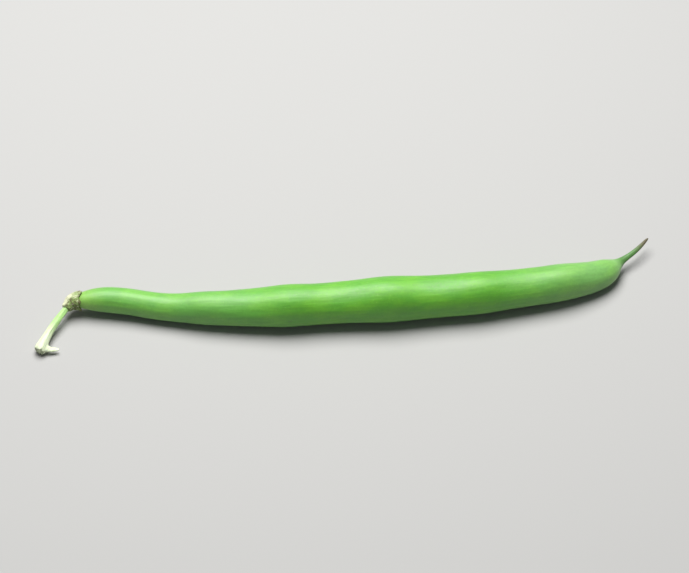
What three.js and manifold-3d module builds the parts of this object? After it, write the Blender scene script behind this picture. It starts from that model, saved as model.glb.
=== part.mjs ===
// A green bean lying on its side: the pod with its thin tail, the calyx that clasps it, and the stalk.
// X runs from the stem end to the tail, Y crosses the bend and Z points up. The origin is on the
// surface that the bean lies on, under the middle of its bounding box. Lengths are in millimetres.
import * as THREE from "three";
import { mergeVertices } from "three/addons/utils/BufferGeometryUtils.js";
import Module from "manifold-3d";

const wasm = await Module();
wasm.setup();

// Driving dimensions. Distances along the pod start at its stem end.
const POD_RADIUS = 4.65; // across the bend, at the thickest seed
const FLATNESS = 0.95; // height of the pod's section over its width
const TAIL_FLATNESS = 0.65; // the same at the tail's end, to which the beak comes down
const SEED_PITCH = 18.5;
const FIRST_SEED = 7.5;
const SEED_SWELL = 0.26; // how far a seed pushes the wall up and down
const SEAT_DEPTH = 0.13; // how far a seed's swelling is pressed flat where it rests
const STEM_END_HEIGHT = 3.2; // of the centre line
const TAIL_END_HEIGHT = 3;
const NECK_LENGTH = 30; // over which the stem end comes down to rest
const BEAK_LENGTH = 26; // over which the beak and the tail rise again and flatten
const LOBE_COUNT = 5;
const LOBE_LENGTH = 0.5;
const LOBE_FLARE = 0.5; // outwards, for each millimetre along
const LOBE_ROOT = 2.9; // from the calyx's foot to where its lobes begin
const SPUR_RADIUS = 0.42; // of the torn strand beside the stalk's foot

const POD_SIDES = 24;
const POD_STATIONS = 84;
const CALYX_SIDES = 20;
const STALK_SIDES = 14;
const STALK_STATIONS = 20;
const SPUR_SIDES = 10;
const SPUR_STATIONS = 8;

const UP = new THREE.Vector3(0, 0, 1);
const FLOOR_BLOCK = 300;

// Outlines are [radius, distance along the piece], from axis to axis.
const POD_OUTLINE = [
  [0, 0], [1.3, 0.8], [1.72, 1.8], [2.3, 3.8], [2.64, 7], [2.82, 13], [3, 20], [3.4, 27], [3.95, 34],
  [4.3, 42], [4.46, 52], [POD_RADIUS, 62], [4.56, 72], [4.3, 84], [4.12, 92], [3.8, 99],
  [3.5, 104.5], [3.12, 108], [2.54, 110.3], [1.8, 111.8], [1.2, 112.9], [0.82, 114.2], [0.6, 116.2],
  [0.42, 121], [0, 122],
];
const CALYX_OUTLINE = [
  [0, 0], [0.75, 0.08], [0.9, 0.5], [1.25, 1.2], [1.65, 2], [1.85, 2.8], [1.92, 3.6],
  [1.66, 3.7], [1.5, 3.1], [1.2, 2.65], [0, 2.4],
];
const STALK_OUTLINE = [
  [0, 0], [0.72, 0.3], [0.72, 2], [0.8, 5.5], [0.92, 8.4], [1.18, 10.6], [1.05, 11.6], [0, 12],
];
const SPUR_OUTLINE = [[0, 0], [SPUR_RADIUS, 0.5], [0.8 * SPUR_RADIUS, 2.6], [0, 3.2]];

// Courses run from the stem end of the pod to its tail, from the calyx's foot to its rim, and from
// the calyx down to the stalk's foot. The pod's is flat, because its heights follow from its rest.
const podCourse = new THREE.SplineCurve(
  [
    [-1, 0], [4, 0.4], [9, 0.05], [14, -0.85], [19, -1.6], [35, -2.3], [56, -1.1], [76, 0.65],
    [92, 3.2], [103, 6.15], [106.2, 7.8], [108.6, 9.6], [110.4, 11.4], [113.1, 13.6], [116, 17],
  ].map(([x, y]) => new THREE.Vector2(x, y))
);
const calyxCourse = course([-3, -1.9, 2.9], [-2.1, -0.7, 3.1], [-0.9, -0.02, 3.2], [0.5, 0.08, 3.2]);
const stalkCourse = course([-3.2, -2.2, 2.85], [-4.8, -4.7, 2.3], [-6.6, -8, 1.6], [-8.1, -11.6, 1.1]);
const spurCourse = course([-7.7, -11, 0.9], [-6.4, -11.4, 0.55], [-4.9, -11, 0.6]);

function course(...places) {
  return new THREE.CatmullRomCurve3(places.map(([x, y, z]) => new THREE.Vector3(x, y, z)));
}

// A smooth profile through an outline's points. Its ends stay exactly on the axis.
function smoothProfile(outline, stations) {
  const points = outline.map(([radius, along]) => new THREE.Vector2(radius, along));
  const profile = new THREE.SplineCurve(points).getSpacedPoints(stations);
  profile[0].x = 0;
  profile[stations].x = 0;
  return profile;
}

// Rises from 0 to 1 while distance goes from 0 to span.
function ease(distance, span) {
  return THREE.MathUtils.smoothstep(distance, 0, span);
}

function closed(geometry) {
  geometry.deleteAttribute("normal");
  geometry.deleteAttribute("uv");
  return mergeVertices(geometry, 1e-4);
}

// Carries a lathe, turned about its own Y axis, onto a course. placeAt(along, across) gives the point
// of the course there, its direction, and the height of the surface over the course.
function carry(lathe, placeAt) {
  const spots = lathe.getAttribute("position");
  for (let i = 0; i < spots.count; i++) {
    const across = new THREE.Vector2(spots.getX(i), spots.getZ(i));
    const { centre, direction, height } = placeAt(spots.getY(i), across);
    const side = direction.clone().cross(UP).normalize();
    const rise = side.clone().cross(direction);
    centre.addScaledVector(side, across.x).addScaledVector(rise, height);
    spots.setXYZ(i, centre.x, centre.y, centre.z);
  }
  return closed(lathe);
}

// Places for a piece with round sections, stretched to the whole length of its course.
function roundSections(line, length) {
  return (along, across) => {
    const share = THREE.MathUtils.clamp(along / length, 0, 1);
    return { centre: line.getPointAt(share), direction: line.getTangentAt(share), height: across.y };
  };
}

// The seeds swell the wall above and below the pod's middle, and fade towards both ends.
function seedSwell(along, length) {
  const wave = Math.cos((Math.PI * (along - FIRST_SEED)) / SEED_PITCH) ** 2;
  return SEED_SWELL * wave * ease(along, NECK_LENGTH) * ease(length - along, BEAK_LENGTH);
}

// Height of the pod's section over its width.
function podFlatness(along, length) {
  return THREE.MathUtils.lerp(TAIL_FLATNESS, FLATNESS, ease(length - along, BEAK_LENGTH));
}

// Between its neck and its beak the pod rests on its seeds, so its centre is half a height up.
function podHeight(along, length, radius) {
  const resting = podFlatness(along, length) * radius + SEED_SWELL - SEAT_DEPTH;
  const fromStem = THREE.MathUtils.lerp(STEM_END_HEIGHT, resting, ease(along, NECK_LENGTH));
  return THREE.MathUtils.lerp(TAIL_END_HEIGHT, fromStem, ease(length - along, BEAK_LENGTH));
}

function podSections(length) {
  return (along, across) => {
    const share = THREE.MathUtils.clamp(along / length, 0, 1);
    const radius = across.length();
    const place = podCourse.getPointAt(share);
    const heading = podCourse.getTangentAt(share);
    const lean = radius > 0 ? across.y / radius : 0;
    return {
      centre: new THREE.Vector3(place.x, place.y, podHeight(along, length, radius)),
      direction: new THREE.Vector3(heading.x, heading.y, 0),
      height: podFlatness(along, length) * across.y + seedSwell(along, length) * lean * Math.abs(lean),
    };
  };
}

// Draws the calyx's rim out into pointed lobes that open with the pod's shoulder.
function drawLobes(lathe) {
  const spots = lathe.getAttribute("position");
  for (let i = 0; i < spots.count; i++) {
    const radius = Math.hypot(spots.getX(i), spots.getZ(i));
    const turn = (LOBE_COUNT * Math.atan2(spots.getX(i), spots.getZ(i))) / (2 * Math.PI);
    const point = Math.abs(turn - Math.floor(turn) - 0.5) * 2;
    const drawn = LOBE_LENGTH * point * ease(spots.getY(i) - LOBE_ROOT, 1);
    const opened = 1 + (LOBE_FLARE * drawn) / Math.max(radius, 1);
    spots.setXYZ(i, spots.getX(i) * opened, spots.getY(i) + drawn, spots.getZ(i) * opened);
  }
  return lathe;
}

function toSolid(geometry) {
  return new wasm.Manifold(
    new wasm.Mesh({
      numProp: 3,
      vertProperties: new Float32Array(geometry.getAttribute("position").array),
      triVerts: new Uint32Array(geometry.index.array),
    })
  );
}

function toGeometry(solid) {
  const mesh = solid.getMesh();
  const geometry = new THREE.BufferGeometry();
  geometry.setAttribute("position", new THREE.BufferAttribute(mesh.vertProperties, mesh.numProp));
  geometry.setIndex(new THREE.BufferAttribute(mesh.triVerts, 1));
  geometry.computeVertexNormals();
  return geometry;
}

// Presses a piece flat where it would reach below the surface that the bean lies on.
function pressOnSurface(solid) {
  const block = new THREE.BoxGeometry(FLOOR_BLOCK, FLOOR_BLOCK, FLOOR_BLOCK);
  block.translate(0, 0, -FLOOR_BLOCK / 2);
  return solid.subtract(toSolid(closed(block)));
}

function makePod() {
  const lathe = new THREE.LatheGeometry(smoothProfile(POD_OUTLINE, POD_STATIONS), POD_SIDES);
  const length = POD_OUTLINE.at(-1)[1];
  return toGeometry(pressOnSurface(toSolid(carry(lathe, podSections(length)))));
}

function makeCalyx() {
  const outline = CALYX_OUTLINE.map(([radius, along]) => new THREE.Vector2(radius, along));
  const lathe = drawLobes(new THREE.LatheGeometry(outline, CALYX_SIDES));
  const length = Math.max(...CALYX_OUTLINE.map(([, along]) => along)) + LOBE_LENGTH;
  return carry(lathe, roundSections(calyxCourse, length));
}

function makeStalk() {
  const stem = new THREE.LatheGeometry(smoothProfile(STALK_OUTLINE, STALK_STATIONS), STALK_SIDES);
  const spur = new THREE.LatheGeometry(smoothProfile(SPUR_OUTLINE, SPUR_STATIONS), SPUR_SIDES);
  const stemSolid = toSolid(carry(stem, roundSections(stalkCourse, STALK_OUTLINE.at(-1)[1])));
  const spurSolid = toSolid(carry(spur, roundSections(spurCourse, SPUR_OUTLINE.at(-1)[1])));
  return toGeometry(pressOnSurface(stemSolid.add(spurSolid)));
}

function addPiece(parent, name, geometry, color, roughness) {
  const material = new THREE.MeshStandardMaterial({ color, roughness, metalness: 0 });
  const mesh = new THREE.Mesh(geometry, material);
  mesh.name = name;
  parent.add(mesh);
}

const bean = new THREE.Group();
addPiece(bean, "pod", makePod(), 0x5fae3f, 0.42);
addPiece(bean, "calyx", makeCalyx(), 0xb9c98a, 0.7);
addPiece(bean, "stalk", makeStalk(), 0xc9efa6, 0.6);

const middle = new THREE.Box3().setFromObject(bean, true).getCenter(new THREE.Vector3());
bean.position.set(-middle.x, -middle.y, 0);

export default bean;
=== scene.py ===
"""Models one green bean, its calyx and its stalk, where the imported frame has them, on a pale surface."""

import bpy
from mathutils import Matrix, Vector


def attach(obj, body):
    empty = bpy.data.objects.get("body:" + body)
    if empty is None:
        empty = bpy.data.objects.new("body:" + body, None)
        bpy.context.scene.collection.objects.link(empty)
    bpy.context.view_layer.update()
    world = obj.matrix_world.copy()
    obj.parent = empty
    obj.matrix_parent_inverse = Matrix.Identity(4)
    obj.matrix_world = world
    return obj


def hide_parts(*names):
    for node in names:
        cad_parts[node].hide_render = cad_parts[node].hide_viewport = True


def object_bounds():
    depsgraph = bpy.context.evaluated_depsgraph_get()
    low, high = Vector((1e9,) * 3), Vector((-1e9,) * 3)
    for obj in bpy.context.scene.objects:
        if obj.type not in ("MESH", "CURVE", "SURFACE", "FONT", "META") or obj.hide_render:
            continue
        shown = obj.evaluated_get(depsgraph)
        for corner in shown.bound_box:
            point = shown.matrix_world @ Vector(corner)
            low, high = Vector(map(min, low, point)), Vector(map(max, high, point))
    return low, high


bl_info = {
    "name": "Green Bean",
    "version": (1, 0, 0),
    "blender": (4, 5, 0),
    "location": "View3D > Sidebar > Green Bean",
    "description": "Models a green bean with its calyx and its stalk",
    "category": "Add Mesh",
}

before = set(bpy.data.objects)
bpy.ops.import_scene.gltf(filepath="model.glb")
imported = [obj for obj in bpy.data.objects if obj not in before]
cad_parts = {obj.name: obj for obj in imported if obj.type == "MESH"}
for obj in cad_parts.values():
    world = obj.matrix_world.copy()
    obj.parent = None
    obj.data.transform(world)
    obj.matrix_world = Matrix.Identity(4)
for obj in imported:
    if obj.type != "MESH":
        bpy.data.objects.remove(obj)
cad_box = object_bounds()

import math
import random

import bmesh
import bpy
from bpy.props import FloatProperty, FloatVectorProperty, IntProperty, PointerProperty
from bpy.types import Operator, Panel, PropertyGroup
from mathutils import Vector

MM = 0.001

# Outlines are rows of (distance along the piece, half width), in millimetres.
POD_OUTLINE = (
    (0, 0.6), (0.3, 1.2), (0.9, 1.55), (1.8, 1.86), (3.8, 2.34), (7, 2.66), (13, 2.8), (20, 3.0),
    (27, 3.42), (34, 3.93), (42, 4.28), (52, 4.44), (62, 4.62), (72, 4.54), (84, 4.28), (92, 4.12),
    (99, 3.8), (104.5, 3.5), (108, 3.12), (110.3, 2.54), (111.8, 1.82), (112.9, 1.22), (114.2, 0.82),
    (116.2, 0.6), (119.5, 0.42), (121.4, 0.28), (122, 0.1),
)
CALYX_OUTLINE = (
    (0, 0.84), (0.25, 1.05), (0.7, 1.12), (1.2, 1.3), (1.7, 1.62), (2.2, 1.82), (2.7, 1.86), (3.05, 1.88),
)
STALK_OUTLINE = (
    (0, 0.54), (0.9, 0.62), (1.8, 0.67), (3, 0.7), (5, 0.76), (7, 0.84), (8.8, 0.95), (9.9, 1.1),
    (10.7, 1.24), (11.4, 1.22), (11.8, 1.06),
)

# The pod's bend over the surface is rows of (X, Y), in millimetres in the frame.
POD_BEND = (
    (-54.52, -2.6), (-49.52, -2.2), (-44.52, -2.55), (-39.52, -3.45), (-34.52, -4.2), (-18.52, -4.9),
    (2.48, -3.7), (22.48, -1.95), (38.48, 0.6), (49.48, 3.55), (52.68, 5.2), (55.08, 7.0),
    (56.88, 8.8), (59.58, 11.0), (62.48, 14.4),
)
# The small pieces' courses are rows of (X, Y, Z), in millimetres in the frame.
CALYX_COURSE = (
    (-56.52, -4.5, 2.9), (-55.62, -3.3, 3.1), (-54.42, -2.62, 3.2), (-53.02, -2.52, 3.2),
)
STALK_COURSE = (
    (-56.1, -3.85, 2.95), (-58.32, -7.3, 2.3), (-60.12, -10.6, 1.6), (-61.62, -14.2, 1.1),
)

# The pod. Lengths are in millimetres, and distances run from its stem end.
POD_SECTION_POINTS = 22
POD_SUBDIVISIONS = 2
POD_COURSE_STEPS = 40
NECK_LENGTH = 30  # over which the stem end comes down to rest
BEAK_LENGTH = 26  # over which the beak and the tail rise again and flatten
RING_SPACING = 0.42  # of the half width, from one ring to the next
CLOSEST_RINGS = 0.35
CAGE_GROWTH = 1.014  # makes up for what the subdivision draws in
SEEDLESS_END = 12  # at the tail
SEED_HALF_LENGTH = 5
SEED_DRIFT = 1.2  # at most, out of its even place
SEED_STRENGTHS = (0.8, 1.2)  # of the least and the most swollen seed
SUTURE_WIDTH = 0.15  # of the half width, to each side of the suture
RIDGE_SHARE = 0.5  # of the groove's depth, that the ridges beside it rise
SUTURE_SEGMENTS = 4
SUTURE_REACH = 10  # height that the suture's own points stay under, on a ring of radius 1 metre
RIDGE_REACH = 110  # height that the points beside them stay under

# The calyx and the stalk. Lengths are in millimetres.
SMALL_PIECE_SUBDIVISIONS = 3
POINTS_PER_RIDGE = 4
LOBE_ROOT = 0.25  # from the calyx's last ring to the notches between its lobes
LOBE_FLARE = 0.2  # for each millimetre that a lobe rises
LOBE_LENGTHS = (0.75, 1.15)  # of the shortest and the longest lobe, over the usual length
LOBE_POINTS = ((-1, 0.42), (0, 1), (1, 0.42))  # (points round from the tip, share of the length)
LOBE_UNEVENNESS = (0.8, 1.1)  # of its points' lengths
BREAK_RIM = 0.35  # width of the ring round the foot's hollow
BREAK_DEPTH = 0.3  # of the hollow
BREAK_REACH = 0.5  # all points so near the foot's end belong to the break
BREAK_UNEVENNESS = (-0.3, 0.4)
SPUR_ROOT = (10, 11.4)  # distances along the stalk
SPUR_ROOT_HALF_WIDTH = 0.35
# Steps of the spur are rows of (X, Y, Z, narrowing), whose first three are shares of its length.
SPUR_STEPS = (
    (-0.02, 0.1, -0.02, 0.75),
    (-0.06, 0.22, -0.05, 0.85),
    (-0.12, 0.3, -0.08, 0.9),
    (-0.16, 0.38, 0.02, 0.6),
)

# The reliefs' grains are (along, across, up), in millimetres, as are the depths beside them.
POD_WAVES = (14, 5, 5)
POD_FIBRES = (9, 0.7, 0.7)
CALYX_RELIEFS = (((1.3, 0.9, 0.9), 0.28), ((0.9, 0.22, 0.22), 0.07))
STALK_RELIEFS = (((3, 0.6, 0.6), 0.16), ((2.5, 0.2, 0.2), 0.05))

# The skin pattern's sizes in each finish, in millimetres, and how its parts are drawn out along a piece.
PATTERN_SIZES = ("Fibre Width", "Mottle Size", "Grain Size", "Dot Spacing")
POD_PATTERN = (0.5, 3.6, 0.5, 0.87)
CALYX_PATTERN = (0.32, 1.6, 0.42, 0.6)
STALK_PATTERN = (0.36, 2.2, 0.4, 0.9)
FIBRE_STRETCH = (0.1, 1, 1)
MOTTLE_STRETCH = (0.6, 1, 1)
SPECK_STRETCH = (0.7, 1, 1)
SPECK_CELLS = 0.22  # for each millimetre
SPECK_RAGGEDNESS = 0.12

# Spans are (from, to), or (from, to, value at the first, value at the second).
NOISE_RANGE = (0.3, 0.7)  # which nearly all of a noise lies in
DOT_SPAN = (0.06, 0.2, 1.0, 0.0)
SPECK_SPAN = (0.09, 0.15, 1.0, 0.0)
SPECK_CHOICE = (0.55, 0.8)  # of the cells' random values, between which their specks come in

# The pod's colours along it are rows of (share of its length, name of the colour's setting).
# The tip rows give the beak a paler green than its own: a painted highlight along the beak.
POD_COLOURS = (
    (0.01, "collar"), (0.05, "neck"), (0.22, "neck"), (0.38, "skin"), (0.7, "skin"), (0.86, "tip_and_highlight"),
    (0.918, "tip_and_highlight"), (0.935, "tail"), (0.96, "tail"), (0.985, "dry"),
)
POD_PATTERN_FADE = (0.9, 0.93, 0.4, 0.0)  # shares of the length, and how much of the pattern shows
POD_MOTTLING = (0.4, 0.64)
POD_FIBRE_SHADES = (*NOISE_RANGE, 0.94, 1.05)
POD_GRAIN_SHADES = (*NOISE_RANGE, 0.94, 1.06)
POD_ROUGHNESS = (*NOISE_RANGE, 0.42, 0.56)
DOT_STRENGTH = 0.22
SPECK_STRENGTH = 0.4
SUTURE_LINE = (0.1, 0.45, 1.0, 0.0)  # from the suture, in millimetres
# The cup is cream on its +Y side near the foot, the side towards the lamp: its own cream with a painted
# highlight on the lit side. Its brown patches gather on the side away from the lamp, partly as painted
# shade.
CALYX_CREAM_AND_LIT_SIDE = (-0.5, 0.7)  # across it, in millimetres
CALYX_CREAM_AND_LIT_FOOT = (1.9, 3.0, 1.0, 0.25)  # along it, in millimetres
CALYX_PATCHES = (0.45, 0.6, 0.0, 0.9)
CALYX_PATCHES_WHERE_CREAM_AND_LIT = (0.2, 0.9, 1.0, 0.3)
CALYX_FLECKS = (0.56, 0.68, 0.0, 0.7)
CALYX_MARGIN = (3.0, 3.9)  # along it, in millimetres
CALYX_MARGIN_GAPS = (0.35, 0.55)
CALYX_ROUGHNESS = (*NOISE_RANGE, 0.55, 0.8)
STALK_WHITENING = (3.5, 9.0)  # along it, in millimetres
STALK_FIBRE_SHADES = (*NOISE_RANGE, 0.82, 1.08)
STALK_TORN_END = (11.2, 11.8, 0.0, 0.55)  # along it, in millimetres
STALK_TORN_PATCHES = (0.45, 0.62)
STALK_ROUGHNESS = (*NOISE_RANGE, 0.45, 0.65)

# Bumps are (strength, distance in millimetres).
POD_BUMP = (0.35, 0.12)
POD_GRAIN_IN_BUMP = 0.6  # beside the fibres
CALYX_BUMP = (0.6, 0.2)
STALK_BUMP = (0.5, 0.15)

# Places of the amount and the two colours among a Mix node's inputs, and of the colour it puts out.
MIX_AMOUNT, MIX_FIRST, MIX_SECOND = 0, 6, 7
MIX_RESULT = 2

# Values that are the same all over a piece, by the shader's sockets.
POD_FINISH = {
    "Subsurface Weight": 0.1,
    "Subsurface Radius": (0.6, 1.0, 0.3),
    "Subsurface Scale": 1.2 * MM,
    "Specular IOR Level": 0.45,
    "Coat Weight": 0.6,
    "Coat Roughness": 0.62,
    "Sheen Weight": 0.25,
    "Sheen Roughness": 0.4,
}
STALK_FINISH = {
    "Subsurface Weight": 0.15,
    "Subsurface Radius": (1.0, 1.0, 0.5),
    "Subsurface Scale": 0.6 * MM,
}
SURFACE_FINISH = {"Roughness": 0.9, "Specular IOR Level": 0.1}

# The stage, in metres, and the camera's sensor in millimetres.
SURFACE_SIZE = 8
LAMP_PLACE = (-0.04, 0.15, 0.48)
LAMP_SIZE = 0.42
LAMP_TINT = (1, 0.99, 0.97)
SENSOR_WIDTH = 36
NEAREST_SEEN = 0.01

COURSE_RESOLUTION = 48  # steps of a course between two of its points
SAME_PLACE = 0.001  # millimetres between two places that count as one
SAME_RING = 0.01  # millimetres along, between points of one ring
SAME_TURN = 0.05  # of the turn from one ridge to the next


# Shared modelling steps


def smooth_value(rows, at):
    """Reads the second number of rows, which run on from their first number, along a smooth curve."""
    last = len(rows) - 1
    at = max(rows[0][0], min(at, rows[last][0]))
    i = next(i for i in range(last) if at <= rows[i + 1][0])
    before, start, end, after = (rows[max(0, min(i + step, last))] for step in (-1, 0, 1, 2))
    width = end[0] - start[0]
    rise_in = width * (end[1] - before[1]) / (end[0] - before[0])
    rise_out = width * (after[1] - start[1]) / (after[0] - start[0])
    t = (at - start[0]) / width
    return (
        (2 * t**3 - 3 * t**2 + 1) * start[1] + (t**3 - 2 * t**2 + t) * rise_in
        + (3 * t**2 - 2 * t**3) * end[1] + (t**3 - t**2) * rise_out
    )


def ease(distance, span):
    """Rises smoothly from 0 to 1 while distance goes from 0 to span."""
    t = max(0.0, min(1.0, distance / span))
    return t * t * (3 - 2 * t)


def start_ring(name, points):
    """Adds a ring of points of radius 1 about the X axis, and leaves it selected in edit mode."""
    bpy.ops.object.select_all(action="DESELECT")
    bpy.ops.mesh.primitive_circle_add(vertices=points, radius=1, rotation=(0, math.pi / 2, 0))
    piece = bpy.context.object
    piece.name = name
    piece.data.name = name
    bpy.ops.object.transform_apply(location=True, rotation=True, scale=True)
    bpy.ops.object.mode_set(mode="EDIT")
    bpy.ops.mesh.select_mode(type="VERT")
    bpy.ops.mesh.select_all(action="SELECT")
    return piece


def pick(piece, wanted):
    """Selects, in edit mode, the vertices whose place in millimetres is wanted, and no others."""
    mesh = bmesh.from_edit_mesh(piece.data)
    for vertex in mesh.verts:
        vertex.select_set(False)
    for vertex in mesh.verts:
        if wanted(vertex.co / MM):
            vertex.select_set(True)
    mesh.select_flush(True)
    bmesh.update_edit_mesh(piece.data)


def move(x, y, z, **settings):
    """Moves the selection by millimetres."""
    bpy.ops.transform.translate(value=(x * MM, y * MM, z * MM), **settings)


def scale(factors, about=(0, 0, 0)):
    """Scales the selection about a point in millimetres."""
    bpy.ops.transform.resize(value=factors, center_override=Vector(about) * MM)


def extrude(shift):
    """Extrudes the selection by a shift in metres."""
    bpy.ops.mesh.extrude_region_move(TRANSFORM_OT_translate={"value": shift})


def draw_rings(stations):
    """Shrinks the ring to the first (distance, half width, half height) and extrudes it to the others."""
    start, half_width, half_height = stations[0]
    scale((half_width * MM, half_width * MM, half_height * MM))
    move(start, 0, 0)
    for (start, width, height), (at, new_width, new_height) in zip(stations, stations[1:]):
        extrude(((at - start) * MM, 0, 0))
        scale((1, new_width / width, new_height / height), (at, 0, 0))


def round_stations(outline):
    """Stations of a piece that is as high as it is wide."""
    return [(at, half, half) for at, half in outline]


def at_turn(place, turn, turns):
    """Whether a place is at a turn round the X axis, out of so many turns, starting from Y."""
    angle = math.atan2(place.z, place.y) / (2 * math.pi) * turns
    return abs((angle - turn + turns / 2) % turns - turns / 2) < SAME_TURN


def raise_ridges(piece, ridges, height):
    """Raises ridges on a ring, whose height is given over the half width, and leaves it selected."""
    for ridge in range(ridges):
        pick(piece, lambda place: at_turn(place, ridge, ridges))
        scale((1, 1 + height, 1 + height))
        pick(piece, lambda place: at_turn(place, ridge + 0.5, ridges))
        scale((1, 1 - height, 1 - height))
    bpy.ops.mesh.select_all(action="SELECT")


def close_end(piece, at):
    """Closes the open ring at a distance along the piece with a fan of faces."""
    pick(piece, lambda place: abs(place.x - at) < SAME_RING)
    bpy.ops.mesh.edge_face_add()
    bpy.ops.mesh.poke()


def finish_edit():
    """Points all faces outwards and leaves edit mode."""
    bpy.ops.mesh.select_all(action="SELECT")
    bpy.ops.mesh.normals_make_consistent(inside=False)
    bpy.ops.object.mode_set(mode="OBJECT")


def apply_modifier(piece, kind, **settings):
    """Adds a modifier with its settings, and applies it."""
    modifier = piece.modifiers.new(kind.lower(), kind)
    for name, value in settings.items():
        setattr(modifier, name, value)
    bpy.context.view_layer.objects.active = piece
    bpy.ops.object.modifier_apply(modifier=modifier.name)


def subdivide(piece, levels):
    apply_modifier(piece, "SUBSURF", levels=levels, render_levels=levels)


def roughen(piece, grain, depth):
    """Raises a relief whose grain, along, across and up, and whose depth are in millimetres."""
    texture = bpy.data.textures.new("relief", "CLOUDS")
    texture.noise_scale = 1.0
    bpy.ops.object.empty_add(location=(0, 0, 0))
    grid = bpy.context.object
    grid.scale = Vector(grain) * MM
    bpy.context.view_layer.update()
    apply_modifier(
        piece, "DISPLACE", texture=texture, texture_coords="OBJECT", texture_coords_object=grid,
        strength=depth * MM, mid_level=0.5,
    )
    bpy.data.objects.remove(grid)
    bpy.data.textures.remove(texture)


def keep_straight_places(piece):
    """Keeps each point's place on the straight piece, in millimetres, for the materials to read."""
    places = piece.data.attributes.new("straight", "FLOAT_VECTOR", "POINT")
    for vertex, place in zip(piece.data.vertices, places.data):
        place.vector = vertex.co / MM


def bend(piece, course):
    """Bends a piece, straight along X from the origin, onto a course in millimetres."""
    curve = bpy.data.curves.new("course", "CURVE")
    curve.dimensions = "3D"
    curve.twist_mode = "Z_UP"
    curve.resolution_u = COURSE_RESOLUTION
    spline = curve.splines.new("BEZIER")
    spline.bezier_points.add(len(course) - 1)
    for point, place in zip(spline.bezier_points, course):
        point.co = Vector(place) * MM
        point.handle_left_type = "AUTO"
        point.handle_right_type = "AUTO"
    guide = bpy.data.objects.new("course", curve)
    bpy.context.collection.objects.link(guide)
    bpy.context.view_layer.update()
    apply_modifier(piece, "CURVE", object=guide, deform_axis="POS_X")
    bpy.data.objects.remove(guide)
    bpy.data.curves.remove(curve)


def press_flat(piece):
    """Presses what would reach below the surface flat on it."""
    bpy.ops.object.mode_set(mode="EDIT")
    pick(piece, lambda place: place.z < 0)
    scale((1, 1, 0))
    bpy.ops.object.mode_set(mode="OBJECT")


def put_in_frame(piece, node, material):
    """Gives a piece its material and has it stand for a CAD node."""
    bpy.ops.object.select_all(action="DESELECT")
    piece.select_set(True)
    bpy.context.view_layer.objects.active = piece
    bpy.ops.object.shade_smooth()
    piece.data.materials.append(material)
    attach(piece, "root")
    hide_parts(node)


# Settings


def colour(name, description, value):
    return FloatVectorProperty(
        name=name, description=description, default=value, size=3, min=0, max=1, subtype="COLOR"
    )


def length(name, description, millimetres):
    return FloatProperty(
        name=name, description=description, default=millimetres * MM, min=0, unit="LENGTH", precision=5
    )


class PodSettings(PropertyGroup):
    seed_pitch: length("Seed Pitch", "Distance from one seed to the next", 18.5)
    first_seed: length("First Seed", "Distance from the stem end to the first seed", 7.5)
    seed_swell: length("Seed Swell", "How far a seed pushes the flanks out", 0.46)
    seed_reach: length("Seed Reach", "How far round itself a seed swells a flank", 7.6)
    pinch: length("Pinch", "How far the pod draws in between two seeds", 0.2)
    seat_depth: length("Seat Depth", "How far a swelling is pressed flat where it rests", 0.42)
    stem_height: length("Stem End Height", "Height of the centre line at the stem end", 3.2)
    tail_height: length("Tail End Height", "Height of the centre line at the tail's end", 3)
    rib_height: length("Rib Height", "Height of the rib along the back suture", 0.16)
    groove_depth: length("Groove Depth", "Depth of the groove along the front suture", 0.1)
    waviness: length("Waviness", "Depth of the broad unevenness of the wall", 0.3)
    fibre_depth: length("Fibre Depth", "Depth of the fine lengthwise lines", 0.05)
    flatness: FloatProperty(
        name="Flatness", description="Height of the section over its width", default=0.95, min=0.5, max=1
    )
    tail_flatness: FloatProperty(
        name="Tail Flatness", description="The same at the tail's end, to which the beak comes down",
        default=0.65, min=0.3, max=1,
    )
    roll: FloatProperty(
        name="Roll", description="Turn of the sutures' plane out of the bend's plane",
        default=math.radians(17), subtype="ANGLE",
    )
    seed: IntProperty(name="Random Seed", description="Picks another set of seeds", default=4)
    skin: colour("Skin", "Green of the pod's middle", (0.1, 0.375, 0.012))
    fresh: colour("Fresh Skin", "Yellower green in the mottling", (0.14, 0.42, 0.018))
    deep: colour("Deep Skin", "Darker green in the mottling", (0.066, 0.3, 0.02))
    neck: colour("Neck", "Paler green towards the stem", (0.145, 0.41, 0.07))
    collar: colour("Collar", "Yellowish green beside the calyx", (0.3, 0.54, 0.11))
    # The beak's own greyish green, made paler to paint a highlight along the beak.
    tip_and_highlight: colour("Tip", "Greyish green of the beak", (0.21, 0.45, 0.13))
    suture: colour("Suture", "Pale line along the sutures", (0.22, 0.45, 0.12))
    tail: colour("Tail", "Green of the tail's root", (0.06, 0.19, 0.03))
    dry: colour("Dry Tail", "Brown of the tail's dry end", (0.1, 0.085, 0.04))


class CalyxSettings(PropertyGroup):
    lobes: IntProperty(name="Lobes", description="Number of lobes", default=5, min=3, max=8)
    lobe_length: length("Lobe Length", "How far the lobes stand over the cup's rim", 1.25)
    rib_height: FloatProperty(
        name="Rib Height", description="Height of the ribs over the half width", default=0.06, max=0.5
    )
    wall: length("Wall", "Thickness of the cup's wall", 0.24)
    seed: IntProperty(name="Random Seed", description="Picks another set of lobes", default=7)
    # The cream on the side towards the lamp is partly a painted highlight, and the brown patches away from
    # it are partly painted shade.
    cream: colour("Cream", "Pale colour of the cup's sound side", (0.72, 0.74, 0.5))
    green: colour("Green", "Olive green of the cup", (0.2, 0.31, 0.08))
    brown: colour("Brown", "Brown of the dry patches and the margin", (0.1, 0.08, 0.035))


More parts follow.
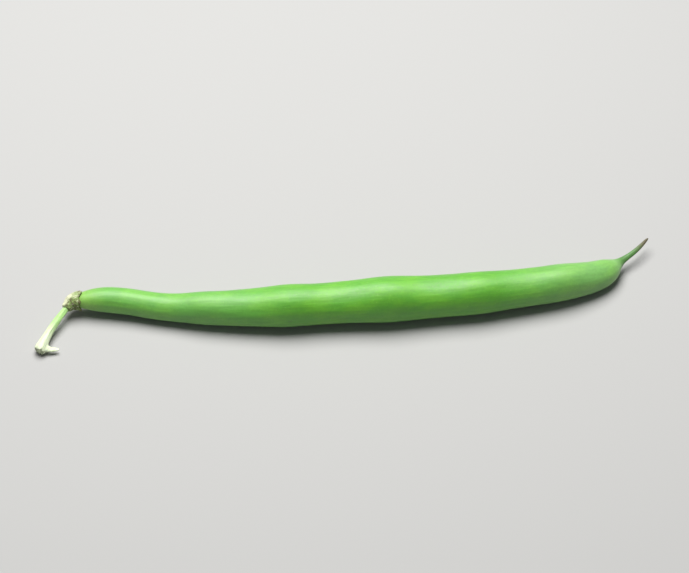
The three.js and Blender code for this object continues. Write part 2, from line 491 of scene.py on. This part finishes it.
class StalkSettings(PropertyGroup):
    ridges: IntProperty(name="Ridges", description="Number of lengthwise ridges", default=5, min=3, max=8)
    ridge_height: FloatProperty(
        name="Ridge Height", description="Height of the ridges over the half width", default=0.06, max=0.5
    )
    spur_length: length("Spur Length", "Length of the torn strand beside the foot", 2.3)
    seed: IntProperty(name="Random Seed", description="Picks another torn foot", default=3)
    green: colour("Green", "Pale green of the stalk", (0.42, 0.7, 0.25))
    white: colour("White", "Whitish green of the foot", (0.66, 0.75, 0.52))
    brown: colour("Brown", "Brown of the torn end", (0.2, 0.16, 0.08))


class StageSettings(PropertyGroup):
    elevation: FloatProperty(
        name="Elevation", description="Camera's height over the horizon",
        default=math.radians(50), subtype="ANGLE",
    )
    distance: length("Distance", "From the camera to the bean", 900)
    margin: FloatProperty(
        name="Margin", description="Width of the picture over the bean's length", default=1.12, min=1
    )
    surface: colour("Surface", "Colour of the surface under the bean", (0.4, 0.4, 0.396))
    sky: colour("Surroundings", "Colour of the light from all round", (0.93, 0.96, 1.0))
    sky_strength: FloatProperty(
        name="Fill", description="Strength of the light from all round", default=0.16
    )
    key_power: FloatProperty(
        name="Key Light", description="Power of the overhead light", default=5.2, subtype="POWER"
    )


# Materials


def set_or_link(tree, socket, value):
    """Links an input to another node's output, or sets it to a value."""
    if isinstance(value, bpy.types.NodeSocket):
        tree.links.new(value, socket)
    else:
        socket.default_value = value


def add_node(tree, kind, inputs=None, **settings):
    """Adds a node, sets it up, and links or sets the inputs that are given by name or number."""
    made = tree.nodes.new(kind)
    for name, value in settings.items():
        setattr(made, name, value)
    for name, value in (inputs or {}).items():
        set_or_link(tree, made.inputs[name], value)
    return made


def math_node(tree, operation, *values):
    return add_node(tree, "ShaderNodeMath", dict(enumerate(values)), operation=operation).outputs[0]


def multiply(tree, first, second):
    return math_node(tree, "MULTIPLY", first, second)


def span(tree, value, low, high, start=0.0, end=1.0):
    """Maps a value from one range to another, smoothly and without going past it."""
    inputs = {"Value": value, "From Min": low, "From Max": high, "To Min": start, "To Max": end}
    return add_node(tree, "ShaderNodeMapRange", inputs, interpolation_type="SMOOTHSTEP").outputs[0]


def blend_colours(tree, amount, first, second, mode="MIX"):
    """Blends two colours, each an output or a setting, by an amount from 0 to 1."""
    made = add_node(tree, "ShaderNodeMix", data_type="RGBA", blend_type=mode)
    set_or_link(tree, made.inputs[MIX_AMOUNT], amount)
    for place, tint in ((MIX_FIRST, first), (MIX_SECOND, second)):
        value = tint if isinstance(tint, bpy.types.NodeSocket) else (*tint, 1)
        set_or_link(tree, made.inputs[place], value)
    return made.outputs[MIX_RESULT]


def shade_colour(tree, body, shade):
    """Multiplies a colour by a shade that is close to 1."""
    grey = add_node(tree, "ShaderNodeCombineColor", {0: shade, 1: shade, 2: shade}).outputs[0]
    return blend_colours(tree, 1.0, body, grey, "MULTIPLY")


def ramp(tree, value, stops):
    """A colour ramp through (place, colour) stops."""
    made = add_node(tree, "ShaderNodeValToRGB", {"Fac": value})
    elements = made.color_ramp.elements
    while len(elements) < len(stops):
        elements.new(0.5)
    for element, (place, tint) in zip(elements, stops):
        element.position = place
        element.color = (*tint, 1)
    return made.outputs[0]


def noise(tree, vector, scale, detail, roughness):
    inputs = {"Vector": vector, "Scale": scale, "Detail": detail, "Roughness": roughness}
    return add_node(tree, "ShaderNodeTexNoise", inputs).outputs["Fac"]


def cells(tree, vector, scale):
    return add_node(tree, "ShaderNodeTexVoronoi", {"Vector": vector, "Scale": scale}).outputs


def stretched(tree, vector, factors):
    return add_node(tree, "ShaderNodeMapping", {"Vector": vector, "Scale": factors}).outputs[0]


def speck_mask(tree, place, grain):
    """A mask of ragged specks, one in each of some large cells."""
    large = cells(tree, stretched(tree, place, SPECK_STRETCH), SPECK_CELLS)
    luck = add_node(tree, "ShaderNodeSeparateColor", {"Color": large["Color"]}).outputs[0]
    ragged = math_node(tree, "ADD", large["Distance"], multiply(tree, grain, SPECK_RAGGEDNESS))
    return multiply(tree, span(tree, ragged, *SPECK_SPAN), span(tree, luck, *SPECK_CHOICE))


def make_skin_pattern():
    """A shared pattern of plant skin, on places in millimetres along a straight piece."""
    tree = bpy.data.node_groups.new("Plant Skin Pattern", "ShaderNodeTree")
    tree.interface.new_socket("Place", in_out="INPUT", socket_type="NodeSocketVector")
    for name in PATTERN_SIZES:
        tree.interface.new_socket(name, in_out="INPUT", socket_type="NodeSocketFloat")
    for name in ("Fibre", "Mottle", "Grain", "Dots", "Specks"):
        tree.interface.new_socket(name, in_out="OUTPUT", socket_type="NodeSocketFloat")
    entry = add_node(tree, "NodeGroupInput").outputs
    place = entry["Place"]
    scales = {name: math_node(tree, "DIVIDE", 1.0, entry[name]) for name in PATTERN_SIZES}
    grain = noise(tree, place, scales["Grain Size"], detail=4.0, roughness=0.65)
    dots = cells(tree, place, scales["Dot Spacing"])["Distance"]
    fibre_place = stretched(tree, place, FIBRE_STRETCH)
    mottle_place = stretched(tree, place, MOTTLE_STRETCH)
    outputs = {
        "Fibre": noise(tree, fibre_place, scales["Fibre Width"], detail=3.0, roughness=0.55),
        "Mottle": noise(tree, mottle_place, scales["Mottle Size"], detail=5.0, roughness=0.6),
        "Grain": grain,
        "Dots": span(tree, dots, *DOT_SPAN),
        "Specks": speck_mask(tree, place, grain),
    }
    add_node(tree, "NodeGroupOutput", outputs)
    return tree


def start_material(name, sizes):
    """A material with the skin pattern in its own sizes, and the straight place that it reads."""
    material = bpy.data.materials.new(name)
    material.use_nodes = True
    tree = material.node_tree
    place = add_node(tree, "ShaderNodeAttribute", attribute_name="straight").outputs["Vector"]
    inputs = {"Place": place, **dict(zip(PATTERN_SIZES, sizes))}
    pattern = bpy.data.node_groups.get("Plant Skin Pattern") or make_skin_pattern()
    skin = add_node(tree, "ShaderNodeGroup", inputs, node_tree=pattern)
    axes = add_node(tree, "ShaderNodeSeparateXYZ", {"Vector": place}).outputs
    return material, tree, skin.outputs, axes


def bump(tree, height, strength, distance):
    """A relief in the light only, whose distance is in millimetres."""
    inputs = {"Height": height, "Strength": strength, "Distance": distance * MM}
    return add_node(tree, "ShaderNodeBump", inputs).outputs["Normal"]


def finish_material(material, inputs):
    """Links or sets the inputs of a material's shader."""
    tree = material.node_tree
    for name, value in inputs.items():
        set_or_link(tree, tree.nodes["Principled BSDF"].inputs[name], value)
    return material


def pod_greens(tree, skin, axes, settings):
    """The pod's colour: greens along it, with a painted highlight along the beak, mottled, with fibres,
    pale dots, specks and the suture's line.
    """
    along = math_node(tree, "DIVIDE", axes["X"], POD_OUTLINE[-1][0])
    # Along the beak, the ramp's tip colour paints a highlight over the beak's own green.
    greens = ramp(tree, along, [(share, getattr(settings, name)) for share, name in POD_COLOURS])
    mottle = span(tree, skin["Mottle"], *POD_MOTTLING)
    mottled = blend_colours(tree, mottle, settings.deep, settings.fresh)
    on_pod = span(tree, along, *POD_PATTERN_FADE)
    body = blend_colours(tree, on_pod, greens, mottled)
    fibres = span(tree, skin["Fibre"], *POD_FIBRE_SHADES)
    grain = span(tree, skin["Grain"], *POD_GRAIN_SHADES)
    body = shade_colour(tree, body, multiply(tree, fibres, grain))
    body = blend_colours(tree, multiply(tree, skin["Dots"], DOT_STRENGTH), body, settings.collar)
    body = blend_colours(tree, multiply(tree, skin["Specks"], SPECK_STRENGTH), body, settings.dry)
    from_suture = math_node(tree, "ABSOLUTE", axes["Z"])
    line = multiply(tree, span(tree, from_suture, *SUTURE_LINE), on_pod)
    return blend_colours(tree, line, body, settings.suture)


def make_pod_skin(settings):
    material, tree, skin, axes = start_material("pod_skin", POD_PATTERN)
    grain = multiply(tree, skin["Grain"], POD_GRAIN_IN_BUMP)
    relief = math_node(tree, "ADD", skin["Fibre"], grain)
    inputs = {
        "Base Color": pod_greens(tree, skin, axes, settings),
        "Roughness": span(tree, skin["Grain"], *POD_ROUGHNESS),
        "Normal": bump(tree, relief, *POD_BUMP),
    }
    return finish_material(material, {**inputs, **POD_FINISH})


def make_calyx_skin(settings):
    material, tree, skin, axes = start_material("calyx_skin", CALYX_PATTERN)
    # Cream on the side towards the lamp near the foot: the cup's own cream and a painted highlight both.
    inner_side = span(tree, axes["Y"], *CALYX_CREAM_AND_LIT_SIDE)
    cream_and_lit = multiply(tree, inner_side, span(tree, axes["X"], *CALYX_CREAM_AND_LIT_FOOT))
    body = blend_colours(tree, cream_and_lit, settings.green, settings.cream)
    # Brown patches are held back on the lit side, so they also paint shade on the side away from the lamp.
    patches_and_shade = span(tree, skin["Grain"], *CALYX_PATCHES)
    patches_and_shade = multiply(tree, patches_and_shade, span(tree, cream_and_lit, *CALYX_PATCHES_WHERE_CREAM_AND_LIT))
    body = blend_colours(tree, patches_and_shade, body, settings.brown)
    flecks = span(tree, skin["Fibre"], *CALYX_FLECKS)
    body = blend_colours(tree, flecks, body, settings.cream)
    margin = span(tree, axes["X"], *CALYX_MARGIN)
    margin = multiply(tree, margin, span(tree, skin["Mottle"], *CALYX_MARGIN_GAPS))
    inputs = {
        "Base Color": blend_colours(tree, margin, body, settings.brown),
        "Roughness": span(tree, skin["Grain"], *CALYX_ROUGHNESS),
        "Normal": bump(tree, skin["Grain"], *CALYX_BUMP),
    }
    return finish_material(material, inputs)


def make_stalk_skin(settings):
    material, tree, skin, axes = start_material("stalk_skin", STALK_PATTERN)
    whitened = span(tree, axes["X"], *STALK_WHITENING)
    body = blend_colours(tree, whitened, settings.green, settings.white)
    body = shade_colour(tree, body, span(tree, skin["Fibre"], *STALK_FIBRE_SHADES))
    torn = span(tree, axes["X"], *STALK_TORN_END)
    torn = multiply(tree, torn, span(tree, skin["Grain"], *STALK_TORN_PATCHES))
    inputs = {
        "Base Color": blend_colours(tree, torn, body, settings.brown),
        "Roughness": span(tree, skin["Grain"], *STALK_ROUGHNESS),
        "Normal": bump(tree, skin["Fibre"], *STALK_BUMP),
    }
    return finish_material(material, {**inputs, **STALK_FINISH})


# Pod


def seed_places(settings):
    """Distance and strength of each seed's swelling, a little uneven as they grow."""
    luck = random.Random(settings.seed)
    at = settings.first_seed / MM
    places = []
    while at < POD_OUTLINE[-1][0] - SEEDLESS_END:
        places.append((at + luck.uniform(-SEED_DRIFT, SEED_DRIFT), luck.uniform(*SEED_STRENGTHS)))
        at += settings.seed_pitch / MM
    return places


def fade_to_ends(at):
    """How much the seeds show, from 0 at the pod's ends to 1 between its neck and its beak."""
    return ease(at, NECK_LENGTH) * ease(POD_OUTLINE[-1][0] - at, BEAK_LENGTH)


def flatness_at(settings, at):
    """Height of the pod's section over its width, which comes down along the beak."""
    before_beak = ease(POD_OUTLINE[-1][0] - at, BEAK_LENGTH)
    return settings.tail_flatness + (settings.flatness - settings.tail_flatness) * before_beak


def pod_stations(settings):
    """Distances, half widths and half heights of the pod's rings, closer where the pod is thin."""
    at, end = 0.0, POD_OUTLINE[-1][0]
    seeds = seed_places(settings)
    stations = []
    while at < end:
        half = smooth_value(POD_OUTLINE, at)
        filled = sum(math.exp(-(((at - place) / SEED_HALF_LENGTH) ** 2)) for place, _ in seeds)
        half -= settings.pinch / MM * fade_to_ends(at) * max(0, 1 - filled)
        stations.append((at, half * CAGE_GROWTH, half * CAGE_GROWTH * flatness_at(settings, at)))
        at += max(CLOSEST_RINGS, RING_SPACING * half)
    half = POD_OUTLINE[-1][1]
    return stations + [(end, half, half * flatness_at(settings, end))]


def shape_section(piece, settings):
    """Gives the ring a rib at one side, -Y, and a groove between two ridges at the other."""
    half = max(row[1] for row in POD_OUTLINE)
    pick(piece, lambda place: abs(place.z) < SUTURE_REACH)
    bpy.ops.mesh.bevel(offset=SUTURE_WIDTH, affect="VERTICES", segments=SUTURE_SEGMENTS)
    rib = settings.rib_height / MM / half
    groove = settings.groove_depth / MM / half
    pick(piece, lambda place: abs(place.z) < SUTURE_REACH and place.y < 0)
    move(0, -rib / MM, 0)
    pick(piece, lambda place: abs(place.z) < SUTURE_REACH and place.y > 0)
    move(0, -groove / MM, 0)
    pick(piece, lambda place: SUTURE_REACH < abs(place.z) < RIDGE_REACH and place.y > 0)
    move(0, RIDGE_SHARE * groove / MM, 0)
    bpy.ops.mesh.select_all(action="SELECT")


def nearest_point(piece, place):
    """Place in millimetres of the piece's point that is nearest to a place, in edit mode."""
    points = [vertex.co / MM for vertex in bmesh.from_edit_mesh(piece.data).verts]
    return min(points, key=lambda point: (point - place).length)


def swell_seeds(piece, settings):
    """Pulls the wall out over each seed, on both flanks."""
    for at, strength in seed_places(settings):
        strength *= fade_to_ends(at)
        for side in (1, -1):
            tall = side * flatness_at(settings, at) * smooth_value(POD_OUTLINE, at)
            crest = nearest_point(piece, Vector((at, 0, tall)))
            pick(piece, lambda place: (place - crest).length < SAME_PLACE)
            move(
                0, 0, side * strength * settings.seed_swell / MM, use_proportional_edit=True,
                proportional_edit_falloff="SMOOTH", proportional_size=settings.seed_reach,
            )


def roll_sutures(settings):
    """Turns the sutures out of the bend's plane."""
    bpy.ops.object.mode_set(mode="EDIT")
    bpy.ops.mesh.select_all(action="SELECT")
    bpy.ops.transform.rotate(value=-settings.roll, orient_axis="X", center_override=(0, 0, 0))
    bpy.ops.object.mode_set(mode="OBJECT")


def pod_height(settings, travelled):
    """Height of the pod's centre line: it rests on its seeds between its neck and its beak."""
    resting = flatness_at(settings, travelled) * smooth_value(POD_OUTLINE, travelled)
    resting += (settings.seed_swell - settings.seat_depth) / MM
    neck = ease(travelled, NECK_LENGTH)
    beak = ease(POD_OUTLINE[-1][0] - travelled, BEAK_LENGTH)
    height = settings.stem_height / MM * (1 - neck) + resting * neck
    return settings.tail_height / MM * (1 - beak) + height * beak


def pod_course(settings):
    """The pod's bend with its heights."""
    course = []
    travelled = 0.0
    first, last = POD_BEND[0][0], POD_BEND[-1][0]
    for step in range(POD_COURSE_STEPS + 1):
        x = first + (last - first) * step / POD_COURSE_STEPS
        y = smooth_value(POD_BEND, x)
        if course:
            travelled += math.hypot(x - course[-1][0], y - course[-1][1])
        course.append((x, y, pod_height(settings, travelled)))
    return course


class BEAN_OT_pod(Operator):
    """Model the pod, with its seeds, sutures, beak and tail"""

    bl_idname = "bean.pod"
    bl_label = "Model Pod"

    def execute(self, context):
        settings = context.scene.bean_pod
        piece = start_ring("bean_pod", POD_SECTION_POINTS)
        shape_section(piece, settings)
        stations = pod_stations(settings)
        draw_rings(stations)
        swell_seeds(piece, settings)
        close_end(piece, stations[0][0])
        close_end(piece, stations[-1][0])
        finish_edit()
        subdivide(piece, POD_SUBDIVISIONS)
        keep_straight_places(piece)
        roughen(piece, POD_WAVES, settings.waviness / MM)
        roughen(piece, POD_FIBRES, settings.fibre_depth / MM)
        roll_sutures(settings)
        bend(piece, pod_course(settings))
        press_flat(piece)
        put_in_frame(piece, "pod", make_pod_skin(settings))
        return {"FINISHED"}


# Calyx


def draw_lobes(piece, settings):
    """Draws the open rim out into uneven pointed lobes, one for each ridge, which open as they rise."""
    rim = CALYX_OUTLINE[-1][0]
    luck = random.Random(settings.seed)
    extrude((LOBE_ROOT * MM, 0, 0))
    for lobe in range(settings.lobes):
        height = settings.lobe_length / MM * luck.uniform(*LOBE_LENGTHS)
        for step, share in LOBE_POINTS:
            turn = lobe + step / POINTS_PER_RIDGE
            pick(piece, lambda place: place.x > rim and at_turn(place, turn, settings.lobes))
            rise = height * share * luck.uniform(*LOBE_UNEVENNESS)
            move(rise, 0, 0)
            scale((1, 1 + LOBE_FLARE * rise, 1 + LOBE_FLARE * rise))


class BEAN_OT_calyx(Operator):
    """Model the calyx, a small cup whose lobes clasp the pod's stem end"""

    bl_idname = "bean.calyx"
    bl_label = "Model Calyx"

    def execute(self, context):
        settings = context.scene.bean_calyx
        piece = start_ring("bean_calyx", settings.lobes * POINTS_PER_RIDGE)
        raise_ridges(piece, settings.lobes, settings.rib_height)
        draw_rings(round_stations(CALYX_OUTLINE))
        draw_lobes(piece, settings)
        close_end(piece, 0)
        finish_edit()
        apply_modifier(piece, "SOLIDIFY", thickness=settings.wall, offset=-1)
        subdivide(piece, SMALL_PIECE_SUBDIVISIONS)
        keep_straight_places(piece)
        for grain, depth in CALYX_RELIEFS:
            roughen(piece, grain, depth)
        bend(piece, CALYX_COURSE)
        put_in_frame(piece, "calyx", make_calyx_skin(settings))
        return {"FINISHED"}


# Stalk


def break_foot(piece, settings):
    """Closes the stalk's foot with a ragged break, hollow in its middle."""
    foot = STALK_OUTLINE[-1][0]
    luck = random.Random(settings.seed)
    pick(piece, lambda place: place.x > foot - SAME_RING)
    bpy.ops.mesh.edge_face_add()
    bpy.ops.mesh.inset(thickness=BREAK_RIM * MM)
    move(-BREAK_DEPTH, 0, 0)
    bpy.ops.mesh.poke()
    places = [vertex.co / MM for vertex in bmesh.from_edit_mesh(piece.data).verts]
    for spot in sorted((place for place in places if place.x > foot - BREAK_REACH), key=tuple):
        pick(piece, lambda place: (place - spot).length < SAME_PLACE)
        move(luck.uniform(*BREAK_UNEVENNESS), 0, 0)


def pick_spur_root(piece):
    """Selects the faces of the foot's side, towards the pod, that the spur grows from."""
    bpy.ops.mesh.select_mode(type="FACE")
    for face in bmesh.from_edit_mesh(piece.data).faces:
        middle = face.calc_center_median() / MM
        at_foot = SPUR_ROOT[0] < middle.x < SPUR_ROOT[1]
        face.select_set(at_foot and middle.y > 0 and abs(middle.z) < SPUR_ROOT_HALF_WIDTH)
    bmesh.update_edit_mesh(piece.data)


def draw_spur(piece, settings):
    """Pulls a torn strand out of the foot's side, towards the pod."""
    pick_spur_root(piece)
    for x, y, z, narrow in SPUR_STEPS:
        extrude(Vector((x, y, z)) * settings.spur_length)
        chosen = [f.calc_center_median() for f in bmesh.from_edit_mesh(piece.data).faces if f.select]
        centre = sum(chosen, Vector()) / len(chosen)
        bpy.ops.transform.resize(value=(narrow, 1, narrow), center_override=centre)
    bpy.ops.mesh.select_mode(type="VERT")


class BEAN_OT_stalk(Operator):
    """Model the stalk, with its furrows, its swollen foot and the torn spur beside it"""

    bl_idname = "bean.stalk"
    bl_label = "Model Stalk"

    def execute(self, context):
        settings = context.scene.bean_stalk
        piece = start_ring("bean_stalk", settings.ridges * POINTS_PER_RIDGE)
        raise_ridges(piece, settings.ridges, settings.ridge_height)
        draw_rings(round_stations(STALK_OUTLINE))
        close_end(piece, 0)
        break_foot(piece, settings)
        draw_spur(piece, settings)
        finish_edit()
        subdivide(piece, SMALL_PIECE_SUBDIVISIONS)
        keep_straight_places(piece)
        for grain, depth in STALK_RELIEFS:
            roughen(piece, grain, depth)
        bend(piece, STALK_COURSE)
        press_flat(piece)
        put_in_frame(piece, "stalk", make_stalk_skin(settings))
        return {"FINISHED"}


# Stage


def add_surface(settings):
    bpy.ops.object.select_all(action="DESELECT")
    bpy.ops.mesh.primitive_plane_add(size=SURFACE_SIZE, location=(0, 0, 0))
    surface = bpy.context.object
    surface.name = "surface"
    material = bpy.data.materials.new("surface")
    material.use_nodes = True
    inputs = {"Base Color": (*settings.surface, 1), **SURFACE_FINISH}
    surface.data.materials.append(finish_material(material, inputs))


def light_stage(scene, settings, middle):
    """Lights the stage from all round, and from a wide lamp overhead that points at the middle."""
    world = bpy.data.worlds.new("surroundings")
    scene.world = world
    world.use_nodes = True
    background = world.node_tree.nodes["Background"]
    background.inputs["Color"].default_value = (*settings.sky, 1)
    background.inputs["Strength"].default_value = settings.sky_strength
    bpy.ops.object.light_add(type="AREA", location=LAMP_PLACE)
    lamp = bpy.context.object
    lamp.name = "overhead"
    lamp.data.shape = "DISK"
    lamp.data.size = LAMP_SIZE
    lamp.data.energy = settings.key_power
    lamp.data.color = LAMP_TINT
    lamp.rotation_euler = (middle - Vector(LAMP_PLACE)).to_track_quat("-Z", "Y").to_euler()


def add_camera(scene, settings, middle, bean_length):
    bpy.ops.object.camera_add()
    camera = bpy.context.object
    scene.camera = camera
    back = Vector((0, -math.cos(settings.elevation), math.sin(settings.elevation)))
    camera.location = middle + back * settings.distance
    camera.rotation_euler = back.to_track_quat("Z", "Y").to_euler()
    camera.data.sensor_width = SENSOR_WIDTH
    camera.data.lens = SENSOR_WIDTH * settings.distance / (bean_length * settings.margin)
    camera.data.clip_start = NEAREST_SEEN


class BEAN_OT_stage(Operator):
    """Set the pale surface, the soft lights and the camera"""

    bl_idname = "bean.stage"
    bl_label = "Set Stage"

    def execute(self, context):
        settings = context.scene.bean_stage
        low, high = cad_box
        middle = (low + high) / 2
        add_surface(settings)
        light_stage(context.scene, settings, middle)
        add_camera(context.scene, settings, middle, high.x - low.x)
        context.scene.view_settings.view_transform = "Standard"
        return {"FINISHED"}


class BEAN_PT_panel(Panel):
    """Lists the bean's pieces and their settings"""

    bl_idname = "BEAN_PT_panel"
    bl_label = "Green Bean"
    bl_space_type = "VIEW_3D"
    bl_region_type = "UI"
    bl_category = "Green Bean"

    def draw(self, context):
        for operator, group in STEPS:
            box = self.layout.box()
            box.operator(operator)
            settings = getattr(context.scene, group)
            for name in settings.__annotations__:
                box.prop(settings, name)


STEPS = (
    ("bean.pod", "bean_pod"),
    ("bean.calyx", "bean_calyx"),
    ("bean.stalk", "bean_stalk"),
    ("bean.stage", "bean_stage"),
)
SETTINGS = {
    "bean_pod": PodSettings,
    "bean_calyx": CalyxSettings,
    "bean_stalk": StalkSettings,
    "bean_stage": StageSettings,
}
CLASSES = (*SETTINGS.values(), BEAN_OT_pod, BEAN_OT_calyx, BEAN_OT_stalk, BEAN_OT_stage, BEAN_PT_panel)


def register():
    for made in CLASSES:
        bpy.utils.register_class(made)
    for name, group in SETTINGS.items():
        setattr(bpy.types.Scene, name, PointerProperty(type=group))


def unregister():
    for name in SETTINGS:
        delattr(bpy.types.Scene, name)
    for made in reversed(CLASSES):
        bpy.utils.unregister_class(made)


def main():
    register()
    bpy.ops.bean.pod()
    bpy.ops.bean.calyx()
    bpy.ops.bean.stalk()
    bpy.ops.bean.stage()


if __name__ == "__main__":
    main()
